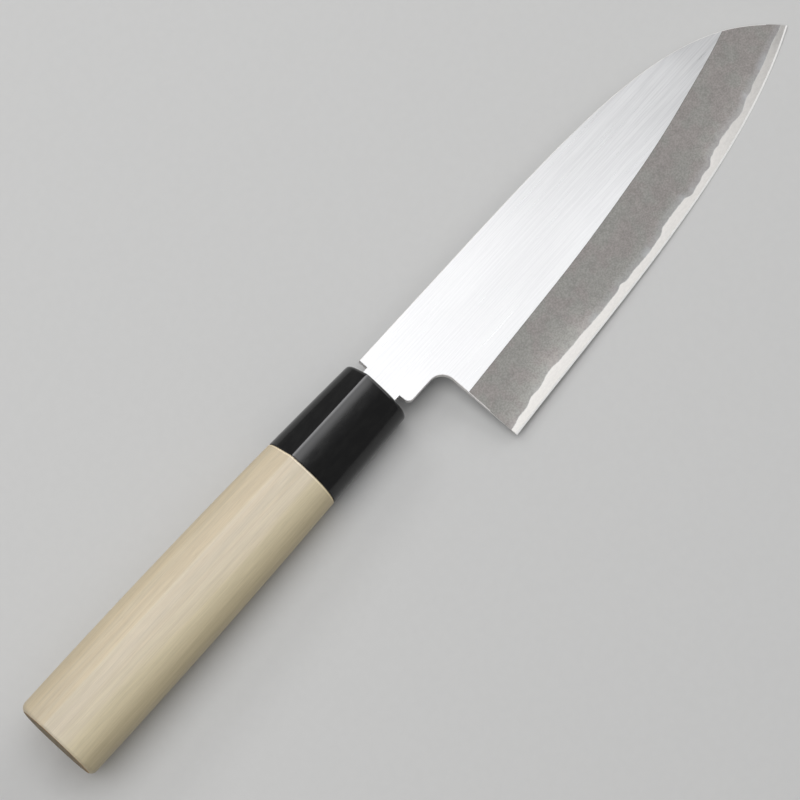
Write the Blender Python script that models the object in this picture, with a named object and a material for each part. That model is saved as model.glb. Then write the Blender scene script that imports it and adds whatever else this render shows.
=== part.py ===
"""Bunka knife with a laminated blade, a moulded ferrule and a wooden handle of chestnut section.

The knife is built in its own frame, in metres. X runs from the butt to the tip, with its zero at the front of
the ferrule. Y runs from the edge to the spine, with its zero on the handle's axis. Z runs out of the blade's
right face, with its zero in the middle of the core. An empty then lays the whole knife on its left side.
"""

import math

import bmesh
import bpy
from mathutils import Matrix, Vector
from mathutils.geometry import interpolate_bezier

MM = 0.001
KNIFE = "bunka_knife"

# Blade outline
BLADE_LENGTH = 158.5 * MM  # shoulder to tip
SHOULDER_GAP = 3.0 * MM  # ferrule front to shoulder
SPINE_HEIGHT = 9.4 * MM  # spine above the axis
SPINE_STRAIGHT = 42.0 * MM  # straight part of the spine, from the shoulder
SPINE_LEAD = 65.7 * MM  # how far the spine's curve keeps the direction of its straight part
NOSE_LEAD = 30.5 * MM  # how far it keeps the direction that it has at the tip
NOSE_ANGLE = math.radians(53.0)  # spine's direction at the tip, from the axis
TIP_DROP = 16.3 * MM  # tip below the axis
HEEL_BACK = 13.75 * MM  # shoulder to heel
HEEL_DROP = 37.65 * MM  # heel corner below the axis
HEEL_RADIUS = 4.6 * MM  # hollow corner between neck and heel
NECK_DROP = 9.2 * MM  # lower side of the neck below the axis
NECK_RADIUS = 1.8 * MM  # round corner of the lower shoulder
EDGE_LEAD = 52.3 * MM  # how far the edge keeps its direction at the heel
EDGE_RISE = math.radians(4.3)  # edge's direction at the heel, from the axis
BELLY_LEAD = 42.5 * MM  # how far the edge keeps the direction that it has at the tip
BELLY_ANGLE = math.radians(23.7)  # edge's direction at the tip, from the axis

# Blade thickness and grinds
NECK_THICKNESS = 2.6 * MM  # at the spine over the shoulder
THINNING_TO_TIP = math.radians(0.09)  # slope of each face along the blade
THINNING_TO_EDGE = math.radians(0.52)  # slope of each face across the blade
BEVEL_WIDTHS = [(17, 18.0), (62, 18.1), (104, 18.6), (152, 17.0)]  # place along the edge and width, in mm
BEVEL_LAND = 0.24 * MM  # thickness that the wide bevels leave at the edge
HONE_ANGLE = math.radians(14.0)  # slope of each narrow honed bevel
HONE_LAND = 0.03 * MM  # thickness left at the very edge
BLADE_CREASE = math.radians(1.5)  # facets that meet at more than this keep a crisp line

# Core steel: place along the edge, height above the edge at which its line shows, both in mm
CORE_LINE = [
    (17, 2.8), (18.5, 2.6), (21, 3.0), (24, 2.85), (28, 3.65), (31, 3.6), (37, 4.4), (42, 3.8), (48, 3.5),
    (51.5, 3.6), (55, 3.2), (61, 3.05), (67.5, 3.1), (69.5, 3.6), (72, 3.05), (76, 3.1), (78, 2.8), (82, 2.7),
    (88, 2.8), (91, 3.6), (95.5, 3.8), (101, 3.5), (104, 2.35), (106.5, 2.65), (108, 2.5), (110.5, 2.85),
    (113.5, 2.45), (116, 3.5), (118.5, 3.9), (120, 3.6), (122, 4.0), (127, 3.4), (132, 2.5), (137, 3.35),
    (138.5, 3.05), (141, 3.3), (149, 3.25),
]
WELD_GAP = 0.02 * MM  # between the core and each cladding, half of it from each

# Tang
TANG_LENGTH = 95.0 * MM  # behind the shoulders
TANG_TOP = 6.4 * MM  # its upper side above the axis at the shoulder
TANG_BOTTOM = 5.6 * MM  # its lower side below the axis at the shoulder
TANG_END_TOP = 3.4 * MM
TANG_END_BOTTOM = 2.6 * MM
TANG_CORNER = 1.2 * MM  # cut corners at its end
TANG_FIT = 0.3 * MM  # clearance round it in the ferrule and in the wood

# Handle
HANDLE_LENGTH = 134.1 * MM  # with the ferrule
SWELL_BACK = 118.0 * MM  # where the handle is fullest, behind the ferrule's front
GRIP_HEIGHT = 27.4 * MM  # edge side to spine side, where it is fullest
GRIP_THICKNESS = 19.6 * MM  # left to right without the ridge, where it is fullest
FRONT_HEIGHT = 21.8 * MM  # the same two at the ferrule's front
FRONT_THICKNESS = 16.8 * MM
RIDGE_OFFSET = 4.1 * MM  # ridge towards the spine from the axis
RIDGE_STAND = 0.8 * MM  # ridge above the oval's thickness
BUTT_RADIUS = 1.2 * MM
WOOD_CHAMFER = 0.4 * MM  # on the wood's front rim
TENON_CHAMFER = 0.8 * MM
HANDLE_CREASE = math.radians(20.0)

# Ferrule and seal
FERRULE_LENGTH = 32.0 * MM
FERRULE_WALL = 2.2 * MM
FERRULE_FRONT = 5.0 * MM  # thickness of its front wall
FERRULE_RIM = 1.2 * MM  # rounding of its front rim
SEAT_FIT = 0.1 * MM  # clearance between ferrule, wood and seal
SEAL_DEPTH = 2.0 * MM  # pocket for the seal in the front wall
SEAL_WIDTH = 1.2 * MM  # pocket's margin round the slot

# Rest
REST_POINT = 135.0 * MM  # where the edge touches the table, from the ferrule's front

# Modelling
OVERRUN = 20.0 * MM  # how far the blade's bar and cutters run past what they make
SOCKET_OVERRUN = 1.0 * MM  # the same for the cutters in the ferrule and seal
WELD_DISTANCE = 0.001 * MM
SPINE_STEPS = 36
EDGE_STEPS = 48
CORNER_STEPS = 8  # round each corner of the outline
LAYER_STEP = 1.0 * MM  # spacing of the points along a layer's boundary
ROUND_STEPS = 44  # round the oval part of the handle's section
BODY_STEPS = 12  # along the wood
RIM_STEPS = 5  # round a rim

HEEL_X = SHOULDER_GAP + HEEL_BACK
TIP = Vector((SHOULDER_GAP + BLADE_LENGTH, -TIP_DROP, 0))
HEEL = Vector((HEEL_X, -HEEL_DROP, 0))
WOOD_FRONT = -FERRULE_LENGTH


def collection(name):
    """New collection in the scene."""
    group = bpy.data.collections.new(name)
    bpy.context.scene.collection.children.link(group)
    return group


def principled(name, colour, roughness, metallic=0.0):
    """Plain material of one colour."""
    material = bpy.data.materials.new(name)
    material.use_nodes = True
    shader = material.node_tree.nodes["Principled BSDF"]
    shader.inputs["Base Color"].default_value = (*colour, 1.0)
    shader.inputs["Roughness"].default_value = roughness
    shader.inputs["Metallic"].default_value = metallic
    return material


def direction(angle):
    """Unit vector in the blade's plane, at an angle from the tip's direction."""
    return Vector((math.cos(angle), math.sin(angle), 0))


def arc(centre, radius, start, end):
    """Points of an arc in the blade's plane, from one angle to another."""
    turns = [start + (end - start) * step / CORNER_STEPS for step in range(CORNER_STEPS + 1)]
    return [centre + radius * direction(turn) for turn in turns]


def spine_curve():
    """Points of the spine, from the end of its straight part to the tip."""
    start = Vector((SHOULDER_GAP + SPINE_STRAIGHT, SPINE_HEIGHT, 0))
    lead = start + SPINE_LEAD * direction(0)
    nose = TIP - NOSE_LEAD * direction(-NOSE_ANGLE)
    return interpolate_bezier(start, lead, nose, TIP, SPINE_STEPS + 1)


def edge_curve():
    """Points of the cutting edge, from the heel to the tip."""
    lead = HEEL + EDGE_LEAD * direction(EDGE_RISE)
    belly = TIP - BELLY_LEAD * direction(BELLY_ANGLE)
    return interpolate_bezier(HEEL, lead, belly, TIP, EDGE_STEPS + 1)


def tang_outline(margin):
    """Corners of the tang, clockwise from the lower shoulder, widened all round by a margin."""
    end = SHOULDER_GAP - TANG_LENGTH - margin
    top, bottom = TANG_END_TOP + margin, -TANG_END_BOTTOM - margin
    return [
        Vector((SHOULDER_GAP, -TANG_BOTTOM - margin, 0)),
        Vector((end + TANG_CORNER, bottom, 0)),
        Vector((end, bottom + TANG_CORNER, 0)),
        Vector((end, top - TANG_CORNER, 0)),
        Vector((end + TANG_CORNER, top, 0)),
        Vector((SHOULDER_GAP, TANG_TOP + margin, 0)),
    ]


def blade_outline():
    """Outline of the blade and its tang, clockwise, running past the edge, which the grind makes."""
    shoulder = [Vector((SHOULDER_GAP, SPINE_HEIGHT, 0))]
    past_tip = TIP + OVERRUN * direction(-NOSE_ANGLE)
    past_edge = -HEEL_DROP - OVERRUN
    below = [past_tip, Vector((past_tip.x, past_edge, 0)), Vector((HEEL_X, past_edge, 0))]
    hollow = Vector((HEEL_X - HEEL_RADIUS, -NECK_DROP - HEEL_RADIUS, 0))
    corner = Vector((SHOULDER_GAP + NECK_RADIUS, NECK_RADIUS - NECK_DROP, 0))
    heel = arc(hollow, HEEL_RADIUS, 0, math.pi / 2)
    neck = arc(corner, NECK_RADIUS, -math.pi / 2, -math.pi)
    return shoulder + spine_curve() + below + heel + neck + tang_outline(0)


def poly_curve(name, points):
    """Closed flat curve through the points."""
    curve = bpy.data.curves.new(name, "CURVE")
    curve.dimensions = "2D"
    spline = curve.splines.new("POLY")
    spline.points.add(len(points) - 1)
    for place, point in zip(spline.points, points):
        place.co = (point.x, point.y, 0, 1)
    spline.use_cyclic_u = True
    return curve


def closed(mesh):
    """Weld the mesh's doubled points and turn its faces outward."""
    welder = bmesh.new()
    welder.from_mesh(mesh)
    bmesh.ops.remove_doubles(welder, verts=welder.verts, dist=WELD_DISTANCE)
    bmesh.ops.recalc_face_normals(welder, faces=welder.faces)
    welder.to_mesh(mesh)
    welder.free()
    return mesh


def meshed(curve):
    """Mesh of a curve with its caps welded on and its faces shaded flat."""
    guide = bpy.data.objects.new(curve.name, curve)
    bpy.context.scene.collection.objects.link(guide)
    bpy.context.view_layer.update()
    depsgraph = bpy.context.evaluated_depsgraph_get()
    mesh = bpy.data.meshes.new_from_object(guide.evaluated_get(depsgraph), depsgraph=depsgraph)
    bpy.data.objects.remove(guide)
    mesh.shade_flat()
    return closed(mesh)


def solid(name, mesh, group, parent, material=None):
    """Object for a finished mesh; one without a material is a cutter."""
    item = bpy.data.objects.new(name, mesh)
    item.parent = parent
    group.objects.link(item)
    if material is None:
        item.hide_render = True
        item.display_type = "WIRE"
    else:
        mesh.materials.append(material)
    return item


def cut(item, cutter, operation):
    """Exact Boolean of an object with a cutter."""
    modifier = item.modifiers.new(cutter.name, "BOOLEAN")
    modifier.object = cutter
    modifier.operation = operation
    modifier.solver = "EXACT"


def plate(name, points, half):
    """Mesh of a flat outline, as thick to each side as half."""
    curve = poly_curve(name, points)
    curve.fill_mode = "BOTH"
    curve.extrude = half
    return meshed(curve)


def loft(name, rings, crease):
    """Mesh of a closed solid through rings of as many points each, with a flat face on each end.

    Facets are shaded smooth up to the angle given as crease.
    """
    count = len(rings[0])
    sides = []
    for ring in range(len(rings) - 1):
        for step in range(count):
            near, far = ring * count, (ring + 1) * count
            following = (step + 1) % count
            sides.append((near + step, near + following, far + following, far + step))
    last = (len(rings) - 1) * count
    caps = [tuple(range(count - 1, -1, -1)), tuple(range(last, last + count))]
    mesh = bpy.data.meshes.new(name)
    mesh.from_pydata([point for ring in rings for point in ring], [], sides + caps)
    closed(mesh)
    mesh.shade_smooth()
    mesh.set_sharp_from_angle(angle=crease)
    return mesh


def face_height(along, across):
    """Half thickness of the blank, before the bevels are ground."""
    slope_along, slope_across = math.tan(THINNING_TO_TIP), math.tan(THINNING_TO_EDGE)
    return NECK_THICKNESS / 2 - slope_along * (along - SHOULDER_GAP) - slope_across * (SPINE_HEIGHT - across)


def eased(knots, along):
    """Value at a place along the knife, eased between knots of place and value in millimetres."""
    if along <= knots[0][0] * MM:
        return knots[0][1] * MM
    for (left, low), (right, high) in zip(knots, knots[1:]):
        if along < right * MM:
            share = (along / MM - left) / (right - left)
            return (low + (high - low) * share * share * (3 - 2 * share)) * MM
    return knots[-1][1] * MM


def bevel(foot, inward):
    """Width and slope of the wide bevels over the edge's point foot."""
    width = eased(BEVEL_WIDTHS, foot.x)
    return width, (face_height(*(foot + width * inward).xy) - BEVEL_LAND / 2) / width


def edge_frames():
    """Points of the edge, run on past both its ends, with the direction inward, bevels' width and slope."""
    edge = edge_curve()
    behind = edge[0] - (HEEL_BACK + TANG_LENGTH + OVERRUN) * direction(EDGE_RISE)
    beyond = edge[-1] + OVERRUN * direction(BELLY_ANGLE)
    path = [behind] + edge + [beyond]
    frames = []
    for step, foot in enumerate(path):
        ahead = path[min(step + 1, len(path) - 1)] - path[max(step - 1, 0)]
        inward = Vector((-ahead.y, ahead.x, 0)).normalized()
        frames.append((foot, inward, *bevel(foot, inward)))
    return frames


def hone_width(slope):
    """Width of a honed bevel under a wide bevel of the given slope."""
    return (BEVEL_LAND - HONE_LAND) / 2 / (math.tan(HONE_ANGLE) - slope)


def ground_bar():
    """Mesh of a long bar with the blade's flats, wide bevels and honed bevels, swept along the edge.

    The flats are two planes that lean together towards the edge and the tip.
    """
    full_width = HEEL_DROP + SPINE_HEIGHT + OVERRUN
    rings = []
    for foot, inward, width, slope in edge_frames():
        hone = hone_width(slope)
        section = (
            (0, HONE_LAND / 2),
            (hone, BEVEL_LAND / 2 + hone * slope),
            (width, BEVEL_LAND / 2 + width * slope),
            (full_width, face_height(*(foot + full_width * inward).xy)),
        )
        right = [foot + reach * inward + Vector((0, 0, height)) for reach, height in section]
        left = [Vector((point.x, point.y, -point.z)) for point in reversed(right)]
        rings.append(right + left)
    return loft("ground bar", rings, BLADE_CREASE)


def core_profile():
    """Places along the knife, each with the core's half thickness that puts its line at the height wanted."""
    frames = edge_frames()
    start, wavy = frames[0][0].x, CORE_LINE[0][0] * MM
    count = math.ceil((TIP.x - wavy) / LAYER_STEP) + 1
    profile = []
    for along in [start] + [wavy + step * LAYER_STEP for step in range(count)]:
        inward, width, slope = next(frame[1:] for frame in frames if frame[0].x >= along)
        profile.append((along, BEVEL_LAND / 2 + eased(CORE_LINE, along) * inward.y * slope))
    return profile


def layer(name, bounds):
    """Mesh of a layer that is wider than the blade, from its two boundaries at places along the knife."""
    wide = HEEL_DROP + OVERRUN
    rings = []
    for along, low, high in bounds:
        corners = ((-wide, low), (wide, low), (wide, high), (-wide, high))
        rings.append([Vector((along, across, up)) for across, up in corners])
    return loft(name, rings, BLADE_CREASE)


def core_layer():
    """Mesh of the space that the core steel fills."""
    half_gap = WELD_GAP / 2
    return layer("core layer", [(along, half_gap - half, half - half_gap) for along, half in core_profile()])


def cladding_layer(name, side):
    """Mesh of the space that one cladding fills, on the right for side 1 and on the left for side -1."""
    half_gap, outer = WELD_GAP / 2, side * NECK_THICKNESS
    return layer(name, [(along, side * (half + half_gap), outer) for along, half in core_profile()])


def fullness(front, full, along):
    """A size of the handle's section, which follows one flat curve from the ferrule's front to the butt."""
    share = (along + SWELL_BACK) / SWELL_BACK
    return full - (full - front) * share * share


def chestnut(along, inset=0.0):
    """Ring of the handle's section: an oval and the two tangents to it from the ridge."""
    height = fullness(FRONT_HEIGHT, GRIP_HEIGHT, along) / 2 - inset
    depth = fullness(FRONT_THICKNESS, GRIP_THICKNESS, along) / 2 - inset
    ridge = Vector((along, RIDGE_OFFSET, depth + RIDGE_STAND))
    tall, deep = ridge.y / height, ridge.z / depth
    middle, spread = math.atan2(deep, tall), math.acos(1 / math.hypot(deep, tall))
    start, turn = middle + spread, 2 * math.pi - 2 * spread
    ring = [ridge]
    for step in range(ROUND_STEPS + 1):
        angle = start + turn * step / ROUND_STEPS
        ring.append(Vector((along, height * math.cos(angle), depth * math.sin(angle))))
    return ring


def rim(face, radius, inward):
    """Rings of a rounded rim, from the flat face at its outside to the full section.

    inward is 1 where the solid lies ahead of the face and -1 where it lies behind it.
    """
    rings = []
    for step in range(RIM_STEPS + 1):
        turn = math.pi / 2 * step / RIM_STEPS
        rings.append(chestnut(face + inward * radius * (1 - math.cos(turn)), radius * (1 - math.sin(turn))))
    return rings


def wood():
    """Mesh of the handle's wood with its tenon."""
    start, end = -HANDLE_LENGTH + BUTT_RADIUS, WOOD_FRONT - WOOD_CHAMFER
    body = [start + (end - start) * step / BODY_STEPS for step in range(1, BODY_STEPS + 1)]
    socket, tip = FERRULE_WALL + SEAT_FIT, -FERRULE_FRONT - SEAT_FIT
    tenon = [(WOOD_FRONT, socket), (tip - TENON_CHAMFER, socket), (tip, socket + TENON_CHAMFER)]
    rings = rim(-HANDLE_LENGTH, BUTT_RADIUS, 1)
    rings += [chestnut(along) for along in body]
    rings += [chestnut(WOOD_FRONT, WOOD_CHAMFER)]
    rings += [chestnut(along, inset) for along, inset in tenon]
    return loft("wood", rings, HANDLE_CREASE)


def ferrule_body():
    """Mesh of the ferrule before its socket and mouth are cut."""
    back = chestnut(WOOD_FRONT + SEAT_FIT)
    return loft("ferrule", [back] + rim(0, FERRULE_RIM, -1)[::-1], HANDLE_CREASE)


def socket():
    """Mesh that cuts the ferrule's socket."""
    ends = (WOOD_FRONT - SOCKET_OVERRUN, -FERRULE_FRONT)
    return loft("socket", [chestnut(along, FERRULE_WALL) for along in ends], HANDLE_CREASE)


def mouth(name, margin, start, end):
    """Mesh of a block round the tang at the ferrule's mouth."""
    top, bottom = TANG_TOP + margin, -TANG_BOTTOM - margin
    corners = ((end, top, 0), (end, bottom, 0), (start, bottom, 0), (start, top, 0))
    return plate(name, [Vector(corner) for corner in corners], NECK_THICKNESS / 2 + margin)


def evaluated_points(items):
    """World places of the finished pieces' vertices."""
    depsgraph = bpy.context.evaluated_depsgraph_get()
    depsgraph.update()
    points = []
    for item in items:
        finished = item.evaluated_get(depsgraph)
        points += [finished.matrix_world @ vertex.co for vertex in finished.data.vertices]
    return points


def lay_down(frame, blade, grip):
    """Turn the knife's frame so that it lies on the left side of its handle and the belly of its edge.

    The table's plane holds the edge's tangent at REST_POINT, at the back of the left honed bevel, and swings
    about it until it meets the handle. Then the frame moves so that the table is at height 0 and the middle of
    the knife's box is over the origin.
    """
    foot, inward, width, slope = next(frame for frame in edge_frames() if frame[0].x >= REST_POINT)
    hone = hone_width(slope)
    touch = foot + hone * inward - Vector((0, 0, BEVEL_LAND / 2 + hone * slope))
    offsets = [point - touch for point in evaluated_points(grip)]
    swing = max(math.atan2(-offset.z, offset.dot(inward)) for offset in offsets)
    up = inward * math.sin(swing) + Vector((0, 0, math.cos(swing)))
    forward = (Vector((1, 0, 0)) - up * up.x).normalized()
    frame.matrix_world = Matrix((forward, up.cross(forward), up)).to_4x4()
    places = evaluated_points(blade + grip)
    lows = [min(place[axis] for place in places) for axis in range(3)]
    highs = [max(place[axis] for place in places) for axis in range(3)]
    frame.location = (-(lows[0] + highs[0]) / 2, -(lows[1] + highs[1]) / 2, -lows[2])


def main():
    """Build the knife."""
    for item in list(bpy.data.objects):
        bpy.data.objects.remove(item)
    pieces, cutters = collection(KNIFE), collection("cutters")
    frame = bpy.data.objects.new("knife_frame", None)
    pieces.objects.link(frame)

    outline = solid("outline", plate("outline", blade_outline(), NECK_THICKNESS), cutters, frame)
    bright = principled("core steel", (0.72, 0.72, 0.70), 0.25, 1.0)
    soft = principled("cladding steel", (0.62, 0.62, 0.63), 0.35, 1.0)
    laminate = (
        ("core_steel", core_layer(), bright),
        ("cladding_right", cladding_layer("right layer", 1), soft),
        ("cladding_left", cladding_layer("left layer", -1), soft.copy()),
    )
    blade = []
    for name, space, steel in laminate:
        item = solid(name, ground_bar(), pieces, frame, steel)
        cut(item, outline, "INTERSECT")
        cut(item, solid(name + " layer", space, cutters, frame), "INTERSECT")
        blade.append(item)

    black = principled("ferrule black", (0.012, 0.012, 0.013), 0.12)
    ferrule = solid("ferrule", ferrule_body(), pieces, frame, black)
    slot = solid("slot", plate("slot", tang_outline(TANG_FIT), NECK_THICKNESS / 2 + TANG_FIT), cutters, frame)
    pocket = mouth("pocket", SEAL_WIDTH, -SEAL_DEPTH, SOCKET_OVERRUN)
    cut(ferrule, solid("socket", socket(), cutters, frame), "DIFFERENCE")
    cut(ferrule, slot, "DIFFERENCE")
    cut(ferrule, solid("pocket", pocket, cutters, frame), "DIFFERENCE")

    magnolia = principled("magnolia wood", (0.62, 0.53, 0.37), 0.6)
    handle = solid("handle", wood(), pieces, frame, magnolia)
    cut(handle, slot, "DIFFERENCE")

    resin = principled("seal resin", (0.02, 0.02, 0.02), 0.4)
    block = mouth("seal", SEAL_WIDTH - SEAT_FIT, SEAT_FIT - SEAL_DEPTH, 0)
    seal = solid("tang_seal", block, pieces, frame, resin)
    bore = mouth("seal bore", SEAT_FIT, -SEAL_DEPTH - SOCKET_OVERRUN, SOCKET_OVERRUN)
    cut(seal, solid("seal bore", bore, cutters, frame), "DIFFERENCE")

    lay_down(frame, blade, [ferrule, handle, seal])


main()
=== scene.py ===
"""Looks of the bunka knife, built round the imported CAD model.

Every piece is shaped in the knife's own frame, in metres. X runs from the butt to the tip, with its zero at
the front of the ferrule. Y runs from the edge to the spine, with its zero on the handle's axis. Z runs out of
the blade's right face, with its zero in the middle of the core. The finished mesh is then laid down as the
CAD lies.
"""

import logging
import math
from collections.abc import Callable
from dataclasses import dataclass
from enum import IntEnum
from functools import cached_property

import bmesh
import bpy
import numpy as np
from bmesh.types import BMEdge, BMesh, BMFace, BMVert
from bpy.types import Material, Mesh, Node, NodeSocket, Object
from mathutils import Euler, Matrix, Vector, noise


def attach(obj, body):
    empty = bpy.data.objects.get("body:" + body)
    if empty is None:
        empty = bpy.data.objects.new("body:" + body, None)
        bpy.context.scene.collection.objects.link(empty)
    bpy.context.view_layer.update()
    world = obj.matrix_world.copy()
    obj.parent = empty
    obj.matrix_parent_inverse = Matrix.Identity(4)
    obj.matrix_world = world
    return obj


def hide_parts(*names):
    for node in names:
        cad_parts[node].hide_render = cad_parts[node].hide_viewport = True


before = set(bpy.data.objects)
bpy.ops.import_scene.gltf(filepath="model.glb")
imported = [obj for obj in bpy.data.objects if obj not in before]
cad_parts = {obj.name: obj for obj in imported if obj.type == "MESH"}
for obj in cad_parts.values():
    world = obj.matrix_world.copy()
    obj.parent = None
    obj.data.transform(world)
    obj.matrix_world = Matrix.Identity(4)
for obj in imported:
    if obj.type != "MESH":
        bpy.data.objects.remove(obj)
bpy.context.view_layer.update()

MM = 0.001
BODY = "root"
WELD = 0.001 * MM
SLIVER = WELD / 10
HALVINGS = 34
MOULDED_CREASE = math.radians(24)
OVER_CORE = "over_core"
UNDER_BEVEL = "under_bevel"

Triple = tuple[float, float, float]
Colour = Triple
# Places along the knife with the value at each, in millimetres
Knots = tuple[tuple[float, float], ...]
# Two levels that a number swings between
Span = tuple[float, float]
# Where a number starts and ends, and what it becomes there, which is 0 and 1 unless given
Ramp = tuple[float, ...]

log = logging.getLogger("knife")


@dataclass(frozen=True)
class Rest:
    """How the knife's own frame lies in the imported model."""

    roll: float = 0.143579379
    pitch: float = 0.035447087
    place: Triple = (-0.013496809, 0.011822038, 0.008437203)

    def matrix(self) -> Matrix:
        """Transform from the knife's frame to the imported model's."""
        return Matrix.LocRotScale(Vector(self.place), Euler((self.roll, self.pitch, 0)), None)


REST = Rest()


def eased(knots: Knots, along: float) -> float:
    """Value at a place along the knife, eased between knots.

    Args:
        knots: Places and values, both in millimetres.
        along: Place in metres.

    Returns:
        The value in metres.
    """
    if along <= knots[0][0] * MM:
        return knots[0][1] * MM
    for (left, low), (right, high) in zip(knots, knots[1:]):
        if along < right * MM:
            share = (along / MM - left) / (right - left)
            return (low + (high - low) * share * share * (3 - 2 * share)) * MM
    return knots[-1][1] * MM


def blend(start: float, end: float, share: float) -> float:
    """Number between two others."""
    return start + (end - start) * share


def spread(start: float, end: float, step: float) -> list[float]:
    """Evenly spaced numbers from start up to but not including end, about a step apart."""
    count = max(1, math.ceil((end - start) / step))
    return [blend(start, end, index / count) for index in range(count)]


@dataclass(frozen=True)
class Grain:
    """Pattern of noise around a half.

    Scale is changes per millimetre along each of the knife's axes, detail is octaves of finer noise, shift
    moves the pattern to another part of the noise, and warp distorts it.
    """

    scale: Triple
    detail: float = 3.0
    shift: Triple = (0, 0, 0)
    warp: float = 0.0


@dataclass(frozen=True)
class Number:
    """Number that a material's nodes work out for each point."""

    recipe: "Recipe"
    output: NodeSocket

    def joined(self, kind: str, other: "Number | float") -> "Number":
        """Result of one arithmetic operation with another number."""
        return self.recipe.number("ShaderNodeMath", {0: self, 1: other}, operation=kind)

    def __add__(self, other: "Number | float") -> "Number":
        """Sum of two numbers."""
        return self.joined("ADD", other)

    def __sub__(self, other: "Number | float") -> "Number":
        """Difference of two numbers."""
        return self.joined("SUBTRACT", other)

    def __mul__(self, other: "Number | float") -> "Number":
        """Product of two numbers."""
        return self.joined("MULTIPLY", other)

    def ranged(self, start: float, end: float, low: float = 0.0, high: float = 1.0) -> "Number":
        """Number eased from low, where this one is start, to high, where it is end."""
        limits = {"Value": self, "From Min": start, "From Max": end, "To Min": low, "To Max": high}
        return self.recipe.number("ShaderNodeMapRange", limits, interpolation_type="SMOOTHSTEP")

    def swung(self, span: Span = (0.0, 1.0), reach: float = 0.2) -> "Number":
        """Number that swings over a span as noise goes from reach below a half to reach above it."""
        return self.ranged(0.5 - reach, 0.5 + reach, *span)


class Mix(IntEnum):
    """Inputs of a Mix node between two colours, and its result among the outputs."""

    SHARE = 0
    FIRST = 6
    SECOND = 7
    RESULT = 2


class Recipe:
    """Nodes of one material, on coordinates in millimetres in the knife's frame."""

    def __init__(self, name: str) -> None:
        """Start a material with its shader and coordinates.

        Args:
            name: Material's name.
        """
        self.material = bpy.data.materials.new(name)
        self.material.use_nodes = True
        self.nodes = self.material.node_tree.nodes
        self.shader = self.nodes["Principled BSDF"]
        source = self.add("ShaderNodeTexCoord", {})
        place = {"Vector": source.outputs["Object"], "Location": REST.place}
        turn = {"Rotation": (REST.roll, REST.pitch, 0), "Scale": (MM, MM, MM)}
        self.millimetres = self.add("ShaderNodeMapping", place | turn, vector_type="TEXTURE").outputs[0]

    @cached_property
    def axes(self) -> list[Number]:
        """Places along the knife's X, Y and Z in millimetres."""
        return [Number(self, out) for out in self.add("ShaderNodeSeparateXYZ", {0: self.millimetres}).outputs]

    def feed(self, socket: NodeSocket, value: Number | NodeSocket | float | Triple) -> None:
        """Link a socket to an output, or set its value.

        Args:
            socket: Input of a node.
            value: Number, output or constant for it.
        """
        source = value.output if isinstance(value, Number) else value
        if isinstance(source, NodeSocket):
            self.material.node_tree.links.new(source, socket)
        elif socket.type == "RGBA":
            socket.default_value = (*source, 1.0)
        else:
            socket.default_value = source

    def add(self, kind: str, inputs: dict, **settings: str) -> Node:
        """Add a node.

        Args:
            kind: Blender's name for the node.
            inputs: Value or output for each input, by its name or number.
            settings: Node properties.

        Returns:
            The node.
        """
        node = self.nodes.new(kind)
        for name, value in settings.items():
            setattr(node, name, value)
        for name, value in inputs.items():
            self.feed(node.inputs[name], value)
        return node

    def number(self, kind: str, inputs: dict, output: int | str = 0, **settings: str) -> Number:
        """Number that a new node gives, by its output's name or number."""
        return Number(self, self.add(kind, inputs, **settings).outputs[output])

    def finish(self, **inputs: Number | NodeSocket | float | Triple) -> Material:
        """Set the shader's inputs.

        Args:
            inputs: Value or output for each input, by its name with underscores for spaces.

        Returns:
            The material.
        """
        for name, value in inputs.items():
            self.feed(self.shader.inputs[name.replace("_", " ")], value)
        return self.material

    def grain(self, pattern: Grain) -> Number:
        """Noise of a pattern.

        Args:
            pattern: The pattern.

        Returns:
            A number around a half.
        """
        stretch = {"Vector": self.millimetres, "Scale": pattern.scale, "Location": pattern.shift}
        place = self.add("ShaderNodeMapping", stretch).outputs[0]
        made = {"Vector": place, "Scale": 1.0, "Detail": pattern.detail, "Distortion": pattern.warp}
        return self.number("ShaderNodeTexNoise", made)

    def carried(self, name: str) -> Number:
        """Number that a piece's points carry."""
        return self.number("ShaderNodeAttribute", {}, "Fac", attribute_name=name)

    def mixed(self, share: Number, first: NodeSocket | Colour, second: Colour) -> NodeSocket:
        """Colour between two others."""
        inputs = {Mix.SHARE: share, Mix.FIRST: first, Mix.SECOND: second}
        return self.add("ShaderNodeMix", inputs, data_type="RGBA").outputs[Mix.RESULT]

    def shaded(self, colour: NodeSocket | Colour, light: Number) -> NodeSocket:
        """Colour made lighter or darker.

        Args:
            colour: The colour.
            light: Number around 1.

        Returns:
            The shaded colour.
        """
        grey = self.add("ShaderNodeCombineColor", {0: light, 1: light, 2: light}).outputs[0]
        inputs = {Mix.SHARE: 1.0, Mix.FIRST: colour, Mix.SECOND: grey}
        node = self.add("ShaderNodeMix", inputs, data_type="RGBA", blend_type="MULTIPLY")
        return node.outputs[Mix.RESULT]

    def bump(self, height: Number, depth: float) -> NodeSocket:
        """Normal of a surface with relief of the given depth in metres."""
        made = {"Height": height, "Distance": depth, "Strength": 1.0}
        return self.add("ShaderNodeBump", made).outputs["Normal"]


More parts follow.
